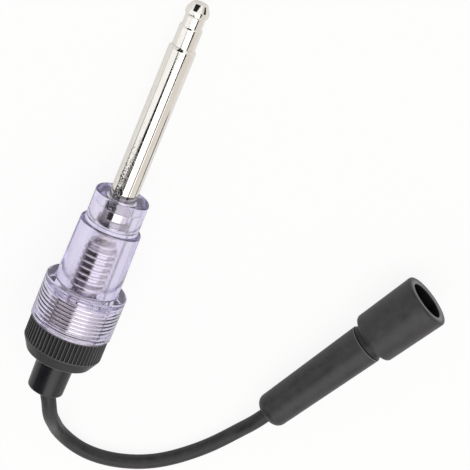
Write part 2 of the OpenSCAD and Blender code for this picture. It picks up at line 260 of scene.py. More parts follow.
def pitted_and_shaded_nickel_plate():
    """The rod's plate: pitted on one side, with a painted dark reflection there, and dull on the knurl.

    Pits some 0.5 mm across lie in a band along the side. They are densest in the middle of the
    band and grow denser towards the collar. Their bumps are real wear. Their dark colour, deepest
    near the collar, is partly a painted dark reflection. A thin line of painted dark reflection
    runs along the band's outer edge and is darker near the collar. Both keep off the knurl.
    """
    material = nickel_plate("pitted_and_shaded_nickel_plate", rough=0.065)
    shader = material.node_tree.nodes["Principled BSDF"]
    tint, gloss, bump = (shader.inputs[name].links[0].from_node
                         for name in ("Base Color", "Roughness", "Normal"))
    place = add(material, "SeparateXYZ", Vector=tool_coordinates(material, 1, 1, 1))
    station, aside = place.outputs["X"], place.outputs["Y"]
    low = add(material, "MapRange", Value=station, From_Min=pits_high, From_Max=pits_low)
    free = add(material, "Math", {"operation": "GREATER_THAN"}, _0=station, _1=knurl_end)
    inner = add(material, "MapRange", Value=aside, From_Min=worn_shaded_inner, From_Max=worn_shaded_inner + 0.6)
    outer = add(material, "MapRange", Value=aside, From_Min=worn_shaded_outer, From_Max=worn_shaded_outer - 0.2)
    band = add(material, "Math", {"operation": "MULTIPLY"}, _0=outer, _1=inner)
    near_collar = add(material, "Math", {"operation": "MULTIPLY"}, _0=low, _1=free)
    where = add(material, "Math", {"operation": "MULTIPLY"}, _0=near_collar, _1=band)
    from_middle = add(material, "Math", {"operation": "SUBTRACT"}, _0=aside, _1=worn_shaded_middle)
    middle = add(material, "Math", {"operation": "ABSOLUTE"}, _0=from_middle)
    dense = add(material, "MapRange", Value=middle, From_Min=0.3, From_Max=0.8, To_Min=0.43,
                To_Max=0.33)
    cut = add(material, "MapRange", Value=where, To_Min=0.74, To_Max=dense)
    pits = add(material, "TexNoise", Vector=tool_coordinates(material, 0.55, 0.42, 0.42), Scale=1.0,
               Detail=3.0, Roughness=0.6)
    depth = add(material, "Math", {"operation": "SUBTRACT"}, _0=pits, _1=cut)
    pitted = add(material, "MapRange", Value=depth, From_Min=0.0, From_Max=0.06)
    from_line = add(material, "Math", {"operation": "SUBTRACT"}, _0=aside, _1=dark_line_aside)
    line = add(material, "Math", {"operation": "ABSOLUTE"}, _0=from_line)
    strength = add(material, "MapRange", Value=station, From_Min=line_high, From_Max=line_low,
                   To_Min=0.15, To_Max=0.75)
    drawn = add(material, "MapRange", Value=line, From_Min=0.13, From_Max=0.05, To_Max=strength)
    painted_dark_line = add(material, "Math", {"operation": "MULTIPLY"}, _0=drawn, _1=free)
    pits_and_dark_line = add(material, "Math", {"operation": "MAXIMUM"}, _0=pitted, _1=painted_dark_line)
    dark = add(material, "Math", {"operation": "MULTIPLY"}, _0=pits_and_dark_line, _1=0.9)
    # Painted dark reflection over the pits and along the line, mixed into the plate's colour.
    pits_and_painted_shade = add(material, "Mix", {"data_type": "RGBA"}, _0=dark, _6=tint.outputs[0],
                 _7=linear("#2c2924"))
    pitting = add(material, "Bump", Strength=0.5, Distance=-0.00012, Height=dark, Normal=bump)
    knurled = add(material, "Math", {"operation": "COMPARE"}, _0=station,
                  _1=(knurl_end + collar_top) / 2, _2=(collar_top - knurl_end) / 2)
    dull = add(material, "Math", {"operation": "MULTIPLY"}, _0=knurled, _1=0.5)
    rough = add(material, "Math", {"operation": "MAXIMUM"}, _0=gloss, _1=dull)
    metal = add(material, "MapRange", Value=knurled, To_Min=1.0, To_Max=0.4)
    feed(material, shader, Base_Color=pits_and_painted_shade.outputs[2], Metallic=metal, Roughness=rough,
         Normal=pitting)
    return material


def knurl_relief(w, angle):
    """Two crossed sets of grooves: the depth times one less the product of their two waves.

    A wave is the absolute cosine of grooves * angle, plus or less a half turn each pitch along.
    """
    one = np.abs(np.cos(knurl_grooves * angle + np.pi * w / knurl_pitch))
    other = np.abs(np.cos(knurl_grooves * angle - np.pi * w / knurl_pitch))
    return -knurl_depth * (1 - one * other) * ((w > knurl_end) & (w < collar_top))


knurl_rows = [(w, rod_r, 0) for w in np.linspace(knurl_end, collar_top + 0.1, 52).tolist()]
rod_profile = rounded(
    [(ceiling, 0, 0), (ceiling, rod_r, 0.35)] + knurl_rows
    + [(rod_top - rod_chamfer, rod_r, 0.12), (rod_top, rod_r - rod_chamfer, 0.08),
       (rod_top, rod_stud_r, 0), (rod_stud_end, rod_stud_r, 0), (rod_stud_end, 0, 0)],
    closed=False)[1:-1]
rod = turned("probe_rod_plated", rod_profile, "housing", sides=352, caps=(ceiling, rod_stud_end),
             relief=knurl_relief)
rod.data.materials.append(pitted_and_shaded_nickel_plate())
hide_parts("probe_rod")

# Probe terminal
# A spark-plug terminal nut screwed on the rod's stud: a plain base, a neck for the snap clip of a
# coil's boot, and a rounded head. Turned and nickel plated like the rod.
base_r = 3.21
base_chamfer = 0.35
neck_r = 2.8
head_r = 3.225
head_station = 83.4
tip = 86.0
tip_r = 2.1
terminal_start = rod_top + clearance
terminal_profile = rounded([
    (terminal_start, rod_stud_r + clearance, 0), (terminal_start, base_r, 0.12),
    (neck_foot - base_chamfer, base_r, 0.08), (neck_foot, base_r - base_chamfer, 0.04),
    (neck_foot, neck_r, 0), (head_station - 1.25, neck_r, 0.1), (head_station - 0.75, head_r, 0.5),
    (head_station + 0.55, head_r, 0.7), (tip, tip_r, 0.45), (tip, 0, 0)], closed=False)[:-1]
terminal = turned("probe_terminal_plated", terminal_profile, "housing", caps=(neck_foot, tip))
terminal.data.materials.append(nickel_plate(rough=0.07))
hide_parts("probe_terminal")

# Clear housing
# One injection moulding of clear lilac plastic: the collar round the rod, the barrel round the
# spark chamber, and the wide skirt whose internal thread takes the plug. Its walls are thick, so
# that the thread and the chamber show through it.
collar_r = 7.7
collar_bore_r = rod_r - 0.01  # a tight fit, so that no air shows between plastic and plate
barrel_r = 8.75
barrel_foot_r = 9.15
barrel_top = 18.9
skirt_r = 11.75
skirt_end = -12.9
skirt_chamfer = 0.15
chamber_r = 5.05
seat_r = 4.4
seat_end = 24.5
skirt_ceiling = -2.6
skirt_bore_r = 8.0
thread_depth = 0.4
thread_pitch = 1.155
thread_start = skirt_ceiling - 0.5
thread_end = skirt_end + 0.5
mouth_chamfer = 0.4


def thread_rings(low, high, radius, depth, flat, fillet):
    """The corners of V grooves between two stations, from the high one down: foot, bottom, foot.

    The grooves lie one pitch apart, with flat left between them, and fillet rounds each corner.
    """
    count = int((high - low) / thread_pitch)
    half = (thread_pitch - flat) / 2
    starts = high - np.arange(count) * thread_pitch
    return [corner for w in starts.tolist() for corner in (
        (w, radius, fillet), (w - half, radius + depth, fillet), (w - 2 * half, radius, fillet))]


housing_outside = [
    (skirt_end, skirt_r - skirt_chamfer, 0.1), (skirt_end + skirt_chamfer, skirt_r, 0.1),
    (0, skirt_r, 0.6), (0, barrel_foot_r, 0.3), (barrel_top, barrel_r, 0.5),
    (barrel_top, collar_r, 0.15), (collar_top, collar_r, 0.5)]
housing_inside = [
    (collar_top, collar_bore_r, 0), (seat_end, collar_bore_r, 0), (seat_end, seat_r, 0.1),
    (ceiling, seat_r, 0.1), (ceiling, chamber_r, 0.3), (skirt_ceiling, chamber_r, 0.15),
    (skirt_ceiling, skirt_bore_r, 0.2)]
thread_corners = thread_rings(thread_end, thread_start, skirt_bore_r, thread_depth, flat=0.2,
                              fillet=0.12)
skirt_mouth = [(skirt_end + mouth_chamfer, skirt_bore_r, 0),
               (skirt_end, skirt_bore_r + mouth_chamfer, 0)]
housing_profile = rounded(housing_outside + housing_inside + thread_corners + skirt_mouth)


def clear_plastic():
    """Clear polycarbonate with a lilac dye: polished, with faint smears some 9 mm long.

    The chamber's wall is smoother where it is seen straight on, so that the electrode is clear,
    and rougher where it is seen aslant, so that what it mirrors is soft.
    """
    material, shader = new_material("clear_lilac_polycarbonate")
    smear = add(material, "TexNoise", Vector=tool_coordinates(material, 9, 5, 5), Scale=1.0,
                Detail=3.0)
    gloss = add(material, "MapRange", Value=smear, From_Min=0.35, From_Max=0.7, To_Min=0.07,
                To_Max=0.14)
    place = add(material, "SeparateXYZ", Vector=tool_coordinates(material, 1, 1, 1))
    off_axis = add(material, "CombineXYZ", Y=place.outputs["Y"], Z=place.outputs["Z"])
    radius = add(material, "VectorMath", {"operation": "LENGTH"}, Vector=off_axis)
    slant = add(material, "LayerWeight", Blend=0.5)
    change = add(material, "MapRange", Value=slant.outputs["Facing"], From_Min=0.2, From_Max=0.24,
                 To_Min=-0.05, To_Max=0.1)
    chamber = add(material, "MapRange", Value=radius.outputs["Value"], From_Min=chamber_r + 0.2,
                  From_Max=chamber_r + 0.1, To_Min=0.0, To_Max=change)
    rough = add(material, "Math", {"operation": "ADD"}, _0=gloss, _1=chamber)
    feed(material, shader, Base_Color=linear("#f6f4fc"), Roughness=rough, IOR=1.56,
         Transmission_Weight=1.0)
    dye = add(material, "VolumeAbsorption", Color=linear("#d0c4f0"), Density=45.0)
    feed(material, material.node_tree.nodes["Material Output"], Volume=dye)
    return material


housing = turned("clear_housing_moulded", housing_profile, "housing", sides=256, smooth=30)
housing.data.materials.append(clear_plastic())
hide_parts("clear_housing")

# Rod retainer
# A ring of spring steel, pressed in its seat in the chamber's ceiling to hold the rod. The steel is
# plain and grey, with a cloudy gloss.
retainer_start = ceiling + 0.7
retainer_end = ceiling + 2.4
retainer_bore_r = rod_r + clearance
retainer_r = seat_r - clearance
spring_steel, steel_shader = new_material("plain_spring_steel")
steel_noise = add(spring_steel, "TexNoise", Vector=tool_coordinates(spring_steel, 1, 1, 1),
                  Scale=1.0, Detail=3.0)
steel_gloss = add(spring_steel, "MapRange", Value=steel_noise, To_Min=0.22, To_Max=0.42)
feed(spring_steel, steel_shader, Base_Color=linear("#b4b2b0"), Metallic=1.0, Roughness=steel_gloss)
retainer_profile = rounded([
    (retainer_start, retainer_bore_r, 0.1), (retainer_start, retainer_r, 0.1),
    (retainer_end, retainer_r, 0.1), (retainer_end, retainer_bore_r, 0.1)])
retainer = turned("rod_retainer_ring", retainer_profile, "housing", sides=96)
retainer.data.materials.append(spring_steel)
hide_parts("rod_retainer")

# Electrode
# The moving electrode, turned from plated brass: a coarse ridge winds round it and over its tapered
# dome, and a plain shank carries it on the plug. The spark jumps from its top to the rod.
electrode_r = 4.75
electrode_sides = 144
dome_top = 15.6
dome_len = 3.6
dome_cut = 0.3
ridge_pitch = 1.87
ridge_half = 0.46
ridge_depth = 0.45
ridge_foot = 0.2
ridge_top = dome_top - 0.35
shank_r = 3.82
plug_top = -3.7
stud_r = 2.5
stud_end = -14.5


def electrode_outline(w):
    """Straight, then an elliptical dome: r * sqrt(1 - (height in the dome / its full length) ** 2).

    The last dome_cut of its full length is cut off, which leaves a small flat top.
    """
    up = np.clip((w - dome_top + dome_len) / (dome_len + dome_cut), 0, 1)
    return electrode_r * np.sqrt(1 - up ** 2)


def ridge_relief(w, angle):
    """Flat-bottomed grooves between half-round ridges, winding right-handed, on the ridged rows.

    A ridge stands depth * sqrt(1 - (distance from its middle / half its width) ** 2) over the
    groove.
    """
    turns = (w / ridge_pitch - angle / (2 * np.pi)) % 1
    off = (0.5 - np.abs(turns - 0.5)) * ridge_pitch
    ridge = np.sqrt(np.clip(1 - (off / ridge_half) ** 2, 0, None))
    ridged = (w > ridge_foot) & (w < ridge_top)
    return -ridge_depth * (1 - ridge) * ridged


def mark(piece, attribute, shares):
    """Gives a piece's mesh a point attribute, with one share for each of its points in order."""
    piece.data.attributes.new(attribute, "FLOAT", "POINT").data.foreach_set("value", shares)


ridge_stations = np.arange(dome_top, ridge_foot, -0.05)
electrode_profile = np.vstack([
    np.stack([ridge_stations, electrode_outline(ridge_stations)], -1),
    [(ridge_foot - 0.05, electrode_r - ridge_depth), (ridge_foot - 0.35, shank_r),
     (plug_top + clearance, shank_r), (plug_top + clearance, stud_r), (stud_end, stud_r)]])
electrode = turned("electrode_ridged", electrode_profile, "adjuster", caps=(dome_top, stud_end),
                   relief=ridge_relief, sides=electrode_sides, smooth=60)
electrode_angles = np.arange(electrode_sides) * 2 * np.pi / electrode_sides
groove_share = ridge_relief(electrode_profile[:, :1], electrode_angles) / -ridge_depth
mark(electrode, "groove", np.append(groove_share, [0, 0]))
# The grooves get painted shade, a little greyer than the ridges, and their plate is duller.
electrode_plate = nickel_plate("electrode_nickel_plate", rough=0.06)
electrode_shader = electrode_plate.node_tree.nodes["Principled BSDF"]
electrode_tint = electrode_shader.inputs["Base Color"].links[0].from_socket
in_groove = add(electrode_plate, "Attribute", {"attribute_name": "groove"})
groove_shade = add(electrode_plate, "Mix", {"data_type": "RGBA"}, _0=in_groove.outputs["Fac"],
             _6=electrode_tint, _7=linear("#cfcbca"))
electrode_gloss = add(electrode_plate, "MapRange", Value=in_groove.outputs["Fac"], To_Min=0.05,
                      To_Max=0.16)
feed(electrode_plate, electrode_shader, Base_Color=groove_shade.outputs[2], Roughness=electrode_gloss)
electrode.data.materials.append(electrode_plate)
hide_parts("electrode")

# Threaded plug
# A plated plug, pressed in the cap. Its thread runs in the skirt, so that turning the cap carries
# the electrode towards the rod or away from it.
plug_r = 7.95
plug_root_r = plug_r - thread_depth
plug_bore_r = stud_r + clearance
plug_recess_r = 5.2
cap_top = -12.95
plug_seat_r = 8.38
plug_flange_r = plug_seat_r - clearance
plug_flange_top = cap_top - 0.35
plug_end = cap_top - 4.15
nut_seat = plug_top - 6
plug_thread_low = cap_top + 0.5
plug_corners = thread_rings(plug_thread_low, plug_top - 0.25, plug_r, -thread_depth, flat=0.55,
                            fillet=0.05)
plug_profile = rounded(
    [(plug_top, plug_bore_r, 0), (plug_top, plug_r - 0.25, 0.1)] + plug_corners
    + [(plug_thread_low - 0.2, plug_root_r, 0), (plug_flange_top, plug_root_r, 0),
       (plug_flange_top, plug_flange_r, 0), (plug_end, plug_flange_r, 0),
       (plug_end, plug_recess_r, 0), (nut_seat, plug_recess_r, 0), (nut_seat, plug_bore_r, 0)])
plug = turned("threaded_plug_plated", plug_profile, "adjuster", sides=192, smooth=30)
plug.data.materials.append(nickel_plate("plug_nickel_plate", "#efedea", 0.1))
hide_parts("threaded_plug")

# Adjuster cap
# A black nylon moulding, turned by hand: sixty fine flutes for grip, a plain rim against the skirt,
# and a smooth bevel down to the lead's sleeve.
cap_r = 11.35
bevel_foot_r = 9.45
flute_end = cap_top - 6.7
cap_end = flute_end - 3.5
cap_floor = flute_end - 0.35
flute_count = 60
flute_r = 0.48
flute_offset = 0.12
cap_sides = flute_count * 14
sleeve_hole_r = 5.75
flute_stations = np.concatenate([
    np.linspace(cap_top - 0.3, cap_top - 0.65, 6), np.linspace(cap_top - 1, flute_end + 1, 6),
    np.linspace(flute_end + 0.7, flute_end + 0.25, 8)])
cap_profile = rounded([(w, cap_r, 0) for w in flute_stations] + [
    (flute_end, cap_r, 0.3), (cap_end, bevel_foot_r, 0.35), (cap_end, sleeve_hole_r, 0.15),
    (cap_floor, sleeve_hole_r, 0), (cap_floor, plug_seat_r, 0), (cap_top, plug_seat_r, 0),
    (cap_top, cap_r - 0.1, 0)])
on_rim = (np.arange(len(cap_profile)) < len(flute_stations))[:, None]


def flute_relief(w, angle):
    """Flutes: the rim less a circle of radius flute_r about a point flute_offset outside it."""
    step = 2 * np.pi / flute_count
    off = ((angle / step + 0.5) % 1 - 0.5) * step * cap_r
    cut = np.sqrt(np.clip(flute_r ** 2 - off ** 2, flute_offset ** 2, None)) - flute_offset
    fade = np.clip((w - flute_end - 0.3) / 0.35, 0, 1) * np.clip((cap_top - 0.4 - w) / 0.2, 0, 1)
    return -cut * np.sqrt(fade) * on_rim


def black_nylon():
    """Black nylon from a spark-eroded mould: satin, with a fine grain about 0.2 mm across.

    A point attribute paints pale highlights on the flutes' crests and on the bevel's edges.
    """
    material, shader = new_material("black_moulded_nylon")
    grain = add(material, "TexNoise", Vector=tool_coordinates(material, 0.2, 0.2, 0.2), Scale=1.0,
                Detail=2.0)
    cloud = add(material, "TexNoise", Vector=tool_coordinates(material, 3, 3, 3), Scale=1.0,
                Detail=4.0)
    gloss = add(material, "MapRange", Value=cloud, From_Min=0.3, From_Max=0.7, To_Min=0.3,
                To_Max=0.46)
    bump = add(material, "Bump", Strength=0.25, Distance=0.00004, Height=grain)
    painted_highlight = add(material, "Attribute", {"attribute_name": "painted_highlight"})
    tint = add(material, "ValToRGB", Fac=painted_highlight.outputs["Fac"])
    tint.color_ramp.elements[0].color = linear("#141417")
    tint.color_ramp.elements[1].color = linear("#96949a")
    feed(material, shader, Base_Color=tint, Roughness=gloss, IOR=1.43, Normal=bump)
    return material


cap = turned("adjuster_cap_fluted", cap_profile, "adjuster", sides=cap_sides, relief=flute_relief,
             smooth=40)
# Painted highlights: pale lines on the flutes' crests and along the bevel's top and foot.
cap_w, cap_radius = cap_profile.T
cap_grid = np.meshgrid(cap_w, np.arange(cap_sides) * 2 * np.pi / cap_sides, indexing="ij")
crests = (flute_relief(*cap_grid) > -0.02) & on_rim
bevel_foot = (np.abs(cap_w - cap_end) < 0.15) & (np.abs(cap_radius - bevel_foot_r) < 0.3)
bevel_top = (cap_w > flute_end - 0.05) & (cap_w < flute_end + 0.2) & (cap_radius > cap_r - 0.3)
bevel_share = (1.0 * bevel_foot + 0.2 * bevel_top)[:, None]
mark(cap, "painted_highlight", np.maximum(0.38 * crests, bevel_share).ravel())
cap.data.materials.append(black_nylon())
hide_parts("adjuster_cap")

# Nut, washer, spring and contacts
# The nut locks the electrode's stud under the plug. A spring and a button join that stud to the
# lead's brass terminal, inside the sleeve's flange, which bears on a nylon washer. The brass is
# yellow, tarnished in clouds, the nylon milky and matt, the copper in strands 0.5 mm wide.
brass, brass_shader = new_material("turned_brass")
brass_noise = add(brass, "TexNoise", Vector=tool_coordinates(brass, 1.5, 1.5, 1.5), Scale=1.0,
                  Detail=4.0)
brass_gloss = add(brass, "MapRange", Value=brass_noise, To_Min=0.18, To_Max=0.4)
brass_tint = add(brass, "ValToRGB", Fac=brass_noise)
brass_tint.color_ramp.elements[0].color = linear("#d9b56a")
brass_tint.color_ramp.elements[1].color = linear("#b48c46")
feed(brass, brass_shader, Base_Color=brass_tint, Metallic=1.0, Roughness=brass_gloss)
nylon, nylon_shader = new_material("natural_nylon")
nylon_grain = add(nylon, "TexNoise", Vector=tool_coordinates(nylon, 0.3, 0.3, 0.3), Scale=1.0,
                  Detail=2.0)
nylon_bump = add(nylon, "Bump", Strength=0.2, Distance=0.00003, Height=nylon_grain)
feed(nylon, nylon_shader, Base_Color=linear("#e4e2da"), Roughness=0.45, Normal=nylon_bump)
copper, copper_shader = new_material("stranded_copper")
strands = add(copper, "TexWave", {"bands_direction": "DIAGONAL"},
              Vector=tool_coordinates(copper, 0.5, 0.5, 0.5), Scale=1.0)
copper_bump = add(copper, "Bump", Strength=0.6, Distance=0.0001, Height=strands)
feed(copper, copper_shader, Base_Color=linear("#c98a62"), Metallic=1.0, Roughness=0.35,
     Normal=copper_bump)
for node_name, finish in (("electrode_nut", spring_steel), ("thrust_washer", nylon),
                          ("lead_terminal", brass), ("contact_button", brass),
                          ("contact_spring", spring_steel), ("lead_core", copper),
                          ("plug_clip", brass), ("clip_ring", spring_steel)):
    slots = frame["nodes"][node_name].data.materials
    slots.clear()
    slots.append(finish)

# Cable sleeve
# A sleeve of soft black vinyl, moulded with a flange that stays inside the cap. It guards the lead
# from sharp bends, and its end opens in a small bell.
flange_top = plug_end - 0.4
flange_end = cap_floor + 0.65
flange_r = plug_seat_r - 0.4
flange_bore_r = 3.3
sleeve_r = 5.45
sleeve_end_r = 5.2
sleeve_end = cap_end - 11.3
terminal_seat = flange_end - 1.1
lead_r = 2.15
lead_bore_r = lead_r + 0.15
bell_start = sleeve_end + 4.8
bell_r = lead_r + 1.3
sleeve_profile = rounded([
    (flange_top, flange_bore_r, 0), (flange_top, flange_r, 0.1), (flange_end, flange_r, 0.1),
    (flange_end, sleeve_r, 0.1), (cap_end, sleeve_r, 0), (sleeve_end + 0.5, sleeve_end_r, 0.7),
    (sleeve_end, sleeve_end_r - 0.9, 0.25), (sleeve_end, bell_r, 0.25),
    (bell_start, lead_bore_r, 0.8), (terminal_seat, lead_bore_r, 0),
    (terminal_seat, flange_bore_r, 0)])


def soft_black(name, colour, scuffed, rough_low, rough_high):
    """Soft black vinyl or rubber: satin, with cloudy gloss and scuffs some 5 mm long."""
    material, shader = new_material(name)
    cloud = add(material, "TexNoise", Vector=tool_coordinates(material, 5, 2, 2), Scale=1.0,
                Detail=5.0, Roughness=0.6)
    grain = add(material, "TexNoise", Vector=tool_coordinates(material, 0.35, 0.2, 0.2), Scale=1.0,
                Detail=2.0)
    gloss = add(material, "MapRange", Value=cloud, From_Min=0.3, From_Max=0.7, To_Min=rough_low,
                To_Max=rough_high)
    tint = add(material, "ValToRGB", Fac=cloud)
    tint.color_ramp.elements[0].position = 0.35
    tint.color_ramp.elements[0].color = linear(colour)
    tint.color_ramp.elements[1].position = 0.8
    tint.color_ramp.elements[1].color = linear(scuffed)
    bump = add(material, "Bump", Strength=0.2, Distance=0.00005, Height=grain)
    feed(material, shader, Base_Color=tint, Roughness=gloss, IOR=1.5, Normal=bump)
    return material


sleeve = turned("cable_sleeve_moulded", sleeve_profile, "lead_end", sides=96)
sleeve.data.materials.append(soft_black("black_vinyl", "#18181c", "#242428", 0.22, 0.32))
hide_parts("cable_sleeve")

# Lead
# Rubber-covered high-tension lead, 4.3 mm thick, crimped in the sleeve and in the boot. It springs
# out of the sleeve, drops to the floor and lies there in one open curve to the boot.
boot_mount = next(m for m in frame["record"]["mounts"] if m["name"] == "boot_mouth")
mount_depth = 9.25  # how far inside the mouth the CAD model puts that mount
boot_along = np.array(boot_mount["axis"], float)
boot_along /= np.linalg.norm(boot_along)
boot_zero = np.array(boot_mount["pos_m"], float) + mount_depth * mm * boot_along
boot_across = np.cross([0, 0, 1.0], boot_along)
boot_across /= np.linalg.norm(boot_across)
boot_axes = (boot_zero, boot_along, boot_across, np.cross(boot_across, boot_along))
boot_len = 59.6
lead_start = terminal_seat - 4.6
lead_end = -39.1  # a station of the boot, a tenth short of the crimp's end
lead_sides = 32
lead_route = np.array([
    (-62, -1.9, 15.2), (-66.6, -4, 14.3), (-73.6, -8, 8.7), (-79.8, -12.6, 3.3),
    (-83.6, -19.4, 2.2), (-84.8, -27, 2.2), (-83.9, -35, 2.2), (-80.8, -43.3, 2.2),
    (-75.8, -50.5, 2.2), (-69.3, -57.2, 2.2), (-61.8, -62.6, 2.9), (-56.9, -64.9, 4.6)]) * mm
sleeve_mouth = tool_zero + sleeve_end * mm * along + np.array([0, -0.8, 0]) * mm
lead_points = np.vstack([
    tool_zero + np.array([[lead_start], [bell_start]]) * mm * along, sleeve_mouth, lead_route,
    boot_zero + np.array([[-boot_len], [8 - boot_len], [lead_end]]) * mm * boot_along])


def smooth_line(points, count):
    """Points at even steps on the natural cubic spline through the given ones.

    The spline's parameter is the summed chord length. Its second derivatives at the points solve
    the usual tridiagonal system, with zero at both ends.
    """
    chord = np.linalg.norm(np.diff(points, axis=0), axis=1)
    t = np.concatenate([[0], np.cumsum(chord)])
    size = len(points)
    system = np.eye(size)
    inner = np.arange(1, size - 1)
    system[inner, inner - 1] = chord[:-1]
    system[inner, inner] = 2 * (chord[:-1] + chord[1:])
    system[inner, inner + 1] = chord[1:]
    slope = np.diff(points, axis=0) / chord[:, None]
    rhs = np.zeros_like(points)
    rhs[1:-1] = 6 * np.diff(slope, axis=0)
    bend = np.linalg.solve(system, rhs)
    x = np.linspace(0, t[-1], count)
    k = np.clip(np.searchsorted(t, x) - 1, 0, size - 2)
    h = chord[k][:, None]
    a = (t[k + 1] - x)[:, None]
    b = (x - t[k])[:, None]
    return ((bend[k] * a ** 3 + bend[k + 1] * b ** 3) / (6 * h)
            + (points[k] / h - bend[k] * h / 6) * a + (points[k + 1] / h - bend[k + 1] * h / 6) * b)


def tube(name, line, radius, sides, body):
    """A round tube along a line: at each point a circle in the plane square to the line's heading.

    The circle's first axis is the heading crossed with the vertical, and its second is the first
    crossed with the heading. The ends are shut by fans.
    """
    heading = np.gradient(line, axis=0)
    heading /= np.linalg.norm(heading, axis=1)[:, None]
    right = np.cross(heading, [0, 0, 1.0])
    right /= np.linalg.norm(right, axis=1)[:, None]
    up = np.cross(right, heading)
    angle = (np.arange(sides) * 2 * np.pi / sides)[:, None]
    ring = np.cos(angle) * right[:, None] + np.sin(angle) * up[:, None]
    points = np.vstack([(line[:, None] + radius * ring).reshape(-1, 3), line[0], line[-1]])
    return put_mesh(name, points, ring_faces(len(line), sides, closed=False), body)


lead_line = smooth_line(lead_points, 161)
lead = tube("rubber_lead", lead_line, lead_r * mm, lead_sides, "lead_end")
lead.data.materials.append(soft_black("extruded_rubber", "#1f1f21", "#3a393b", 0.36, 0.55))
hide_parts("lead")

# Boot
# A spark-plug boot moulded in grey-black rubber: a flared cup that covers the plug's insulator, a
# narrow neck behind it, and a tapered body with a rounded end, from which the lead comes.
boot_sides = 128
mouth_r = 8.2
cup_root_r = 7.75
cup_end = -20.1
cup_bore_r = 5.75
cup_bore_end = -18
boot_neck_r = 5.55
boot_neck_end = cup_end - 2.1
body_r = 6.0
body_end_r = 5.2
cavity_r = 4.6
cavity_end = cup_end - 14.1
boot_profile = rounded([
    (0, mouth_r, 0.7), (cup_end, cup_root_r, 1.2), (cup_end, boot_neck_r, 0.3),
    (boot_neck_end, boot_neck_r, 0.3), (boot_neck_end, body_r, 0.3), (-boot_len, body_end_r, 2.6),
    (-boot_len, lead_bore_r, 0.1), (cavity_end, lead_bore_r, 0), (cavity_end, cavity_r, 0),
    (cup_bore_end, cavity_r, 0.2), (cup_bore_end, cup_bore_r, 0.3), (0, cup_bore_r, 0.5)])


def moulded_rubber():
    """Grey-black rubber from a blasted mould, dusted with bloom: matt, mottled every 4 mm or so.

    A point attribute paints shade into the neck's groove and the mouth, and another paints pale
    highlights along the lip and the shoulder.
    """
    material, shader = new_material("moulded_grey_black_rubber")
    place = add(material, "TexCoord").outputs["Object"]
    patches = add(material, "Mapping", Vector=place, Scale=(1000 / 4,) * 3)
    bloom = add(material, "TexNoise", Vector=patches, Scale=1.0, Detail=6.0, Roughness=0.65)
    fine = add(material, "Mapping", Vector=place, Scale=(1000 * 3,) * 3)
    grain = add(material, "TexNoise", Vector=fine, Scale=1.0, Detail=2.0)
    tint = add(material, "ValToRGB", Fac=bloom)
    tint.color_ramp.elements[0].position = 0.35
    tint.color_ramp.elements[0].color = linear("#29292b")
    tint.color_ramp.elements[1].position = 0.72
    tint.color_ramp.elements[1].color = linear("#403e42")
    recess = add(material, "Attribute", {"attribute_name": "recess"})
    shaded = add(material, "Mix", {"data_type": "RGBA"}, _0=recess.outputs["Fac"],
                 _6=tint.outputs[0], _7=linear("#08080a"))
    edge = add(material, "Attribute", {"attribute_name": "edge"})
    painted_highlight = add(material, "Mix", {"data_type": "RGBA"}, _0=edge.outputs["Fac"],
                 _6=shaded.outputs[2], _7=linear("#8b8a8e"))
    gloss = add(material, "MapRange", Value=bloom, From_Min=0.3, From_Max=0.7, To_Min=0.36,
                To_Max=0.5)
    bump = add(material, "Bump", Strength=0.3, Distance=0.00006, Height=grain)
    feed(material, shader, Base_Color=painted_highlight.outputs[2], Roughness=gloss, IOR=1.5, Normal=bump)
    return material


boot = turned("plug_boot_rubber", boot_profile, "lead_end", sides=boot_sides, axes=boot_axes)
boot_w, boot_radius = boot_profile.T
in_neck = ((boot_radius < boot_neck_r + 0.35) & (boot_w < cup_end + 0.05)
           & (boot_w > boot_neck_end - 0.05))
in_mouth = (boot_w > cavity_end) & (boot_radius < cup_bore_r + 0.1)
on_lip = ((boot_w > -0.55) & (boot_radius > cup_bore_r + 0.02) & (boot_radius < cup_bore_r + 0.6))
on_shoulder = (np.abs(boot_w - boot_neck_end + 0.2) < 0.15) & (boot_radius > body_r - 0.2)
# Painted shade in the neck's groove and the mouth, and painted highlights on the lip and shoulder.
mark(boot, "recess", np.repeat((in_neck | in_mouth) * 1.0, boot_sides))
mark(boot, "edge", np.repeat(0.9 * on_lip + 0.5 * on_shoulder, boot_sides))
boot.data.materials.append(moulded_rubber())
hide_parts("boot")

# Floor
# A plain white sweep under the tool. It shows as white to the camera and in plastic and plate, most
# of all in plate under the plastic, and keeps a soft shadow where the object shuts out the light.
floor_reach = 3.0
floor_mesh = bpy.data.meshes.new("floor")
floor_mesh.from_pydata([(-floor_reach, -floor_reach, 0), (floor_reach, -floor_reach, 0),
                        (floor_reach, floor_reach, 0), (-floor_reach, floor_reach, 0)], [],
                       [(0, 1, 2, 3)])
floor = bpy.data.objects.new("floor", floor_mesh)
bpy.context.collection.objects.link(floor)
sweep, sweep_shader = new_material("white_sweep")
feed(sweep, sweep_shader, Base_Color=linear("#e8e8e8"), Roughness=0.9)
seen = add(sweep, "LightPath")
through = add(sweep, "Math", {"operation": "MAXIMUM"}, _0=seen.outputs["Is Camera Ray"],
              _1=seen.outputs["Is Transmission Ray"])
clear_share = add(sweep, "Math", {"operation": "MULTIPLY"}, _0=through, _1=0.86)
inside = add(sweep, "MapRange", Value=seen.outputs["Transmission Depth"], To_Min=0.33, To_Max=0.68)
plate_share = add(sweep, "Math", {"operation": "MULTIPLY"}, _0=seen.outputs["Is Glossy Ray"],
                  _1=inside)
white_share = add(sweep, "Math", {"operation": "MAXIMUM"}, _0=clear_share, _1=plate_share)
white = add(sweep, "Emission", Color=linear("#ffffff"), Strength=1.04)
floor_mix = add(sweep, "MixShader", Fac=white_share, _1=sweep_shader, _2=white)
feed(sweep, sweep.node_tree.nodes["Material Output"], Surface=floor_mix)
floor_mesh.materials.append(sweep)

